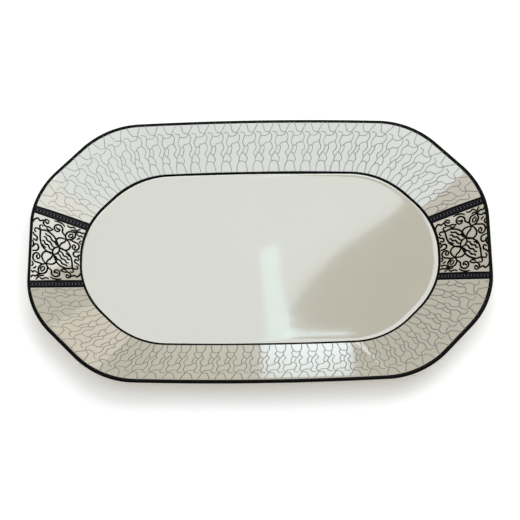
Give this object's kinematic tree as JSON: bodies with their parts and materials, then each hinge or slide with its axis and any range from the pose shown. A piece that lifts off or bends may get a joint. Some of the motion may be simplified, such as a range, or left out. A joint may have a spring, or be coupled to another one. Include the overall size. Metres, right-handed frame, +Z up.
{
  "type": "serving platter",
  "caption": "Oblong cut-corner china serving platter with a sloping rim, black edge lines, black scrollwork end panels and a pale grey lattice print along each side.",
  "frame": {"origin": "centre of the bounding box's bottom face, which is the plane that the foot ring stands on", "axes": "+X along the platter's length towards the right-hand scroll panel, +Y across it towards the far side, +Z up out of the well"},
  "size_m": [0.356, 0.227, 0.028],
  "materials": {
    "bare_porcelain": "bare fired clay, fine matt, seen only on the foot ring",
    "clear_glaze": "clear glossy glaze over ivory-white clay",
    "black_enamel": "fired black enamel line, glossy",
    "black_scroll_print": "black scrollwork print on the white glaze, average tone of print and ground",
    "charcoal_print": "charcoal print with a row of pale beads, glossy",
    "grey_lattice_print": "fine grey lattice print on the white glaze, average tone of print and ground"
  },
  "bodies": {
    "root": {"porcelain_body": "bare_porcelain", "glaze_coat": "clear_glaze", "glaze_inside_foot": "clear_glaze", "rim_line": "black_enamel", "verge_line": "black_enamel", "scroll_panel_left": "black_scroll_print", "scroll_panel_right": "black_scroll_print", "bead_band_left_far": "charcoal_print", "bead_band_left_near": "charcoal_print", "bead_band_right_far": "charcoal_print", "bead_band_right_near": "charcoal_print", "lattice_far": "grey_lattice_print", "lattice_near": "grey_lattice_print"}
  },
  "joints": []
}
